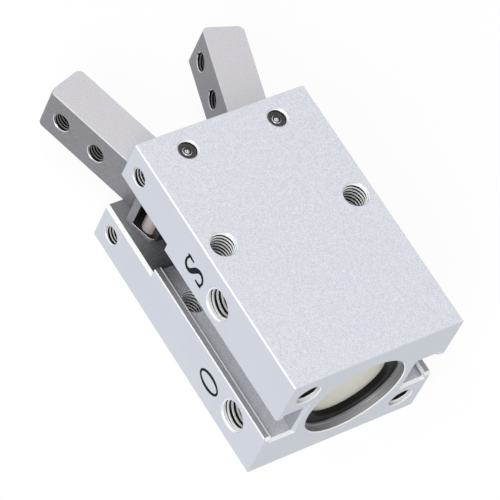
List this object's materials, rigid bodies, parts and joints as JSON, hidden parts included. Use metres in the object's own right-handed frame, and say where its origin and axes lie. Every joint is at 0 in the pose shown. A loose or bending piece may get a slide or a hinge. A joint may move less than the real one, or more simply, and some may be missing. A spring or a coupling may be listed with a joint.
{
  "type": "pneumatic gripper",
  "caption": "Two-finger angular pneumatic gripper: flat rectangular body with a cylinder, side air ports and switch slots, and pivoting fingers driven by a crosshead.",
  "frame": {"origin": "centre of the rear locating bore mouth, in the plane of the rear face", "axes": "+X across the fingers towards the plain side, +Y along the fingers from the rear face to the tips, +Z out of the large face with the two mounting holes; the gripper lies on its other large face"},
  "size_m": [0.035, 0.0632, 0.0236],
  "materials": {
    "body_aluminium": "clear anodised, fine blasted faces",
    "finger_steel": "ground and hardened",
    "pin_steel": "turned, oiled",
    "roller_steel": "polished bearing steel",
    "rod_steel": "hard chromed and ground",
    "crosshead_steel": "milled and hardened",
    "cap_resin": "cream moulded resin",
    "ring_black": "phosphated spring steel",
    "seal_rubber": "nitrile rubber",
    "bumper_rubber": "urethane rubber",
    "magnet_rubber": "magnet filled rubber",
    "piston_aluminium": "turned",
    "bush_bronze": "sintered bronze",
    "wear_resin": "moulded resin"
  },
  "bodies": {
    "body": {"gripper_body": "body_aluminium", "rear_cap": "cap_resin", "cap_seal": "seal_rubber", "snap_ring": "ring_black", "rear_bumper": "bumper_rubber", "front_bumper": "bumper_rubber", "rod_seal": "seal_rubber", "seal_stopper": "piston_aluminium", "rod_bush": "bush_bronze", "pivot_pin_left": "pin_steel", "pivot_pin_right": "pin_steel"},
    "finger_left": {"finger_left": "finger_steel", "roller_pin_left": "pin_steel"},
    "finger_right": {"finger_right": "finger_steel", "roller_pin_right": "pin_steel"},
    "drive": {"piston": "piston_aluminium", "piston_seal": "seal_rubber", "magnet_ring": "magnet_rubber", "wear_ring": "wear_resin", "piston_rod": "rod_steel", "crosshead": "crosshead_steel", "cross_pin": "pin_steel"},
    "roller_left": {"side_roller_left": "roller_steel"},
    "roller_right": {"side_roller_right": "roller_steel"}
  },
  "joints": [
    {"name": "finger_left_swing", "type": "hinge", "parent": "body", "child": "finger_left", "pos_m": [-0.0081, 0.041, 0], "axis": [0, 0, -1], "range_deg": [0, 22]},
    {"name": "finger_right_swing", "type": "hinge", "parent": "body", "child": "finger_right", "pos_m": [0.0081, 0.041, 0], "axis": [0, 0, 1], "range_deg": [0, 22]},
    {"name": "piston_travel", "type": "slide", "parent": "body", "child": "drive", "axis": [0, -1, 0], "range_m": [0, 0.00176]},
    {"name": "side_roller_left_turn", "type": "hinge", "parent": "finger_left", "child": "roller_left", "pos_m": [-0.0117, 0.03823, 0], "axis": [0, 0, 1], "continuous": true},
    {"name": "side_roller_right_turn", "type": "hinge", "parent": "finger_right", "child": "roller_right", "pos_m": [0.0117, 0.03823, 0], "axis": [0, 0, 1], "continuous": true}
  ],
  "couplings": [
    {"joint": "finger_left_swing", "follows": "piston_travel", "rad_per_m": 218.73},
    {"joint": "finger_right_swing", "follows": "piston_travel", "rad_per_m": 218.73}
  ]
}
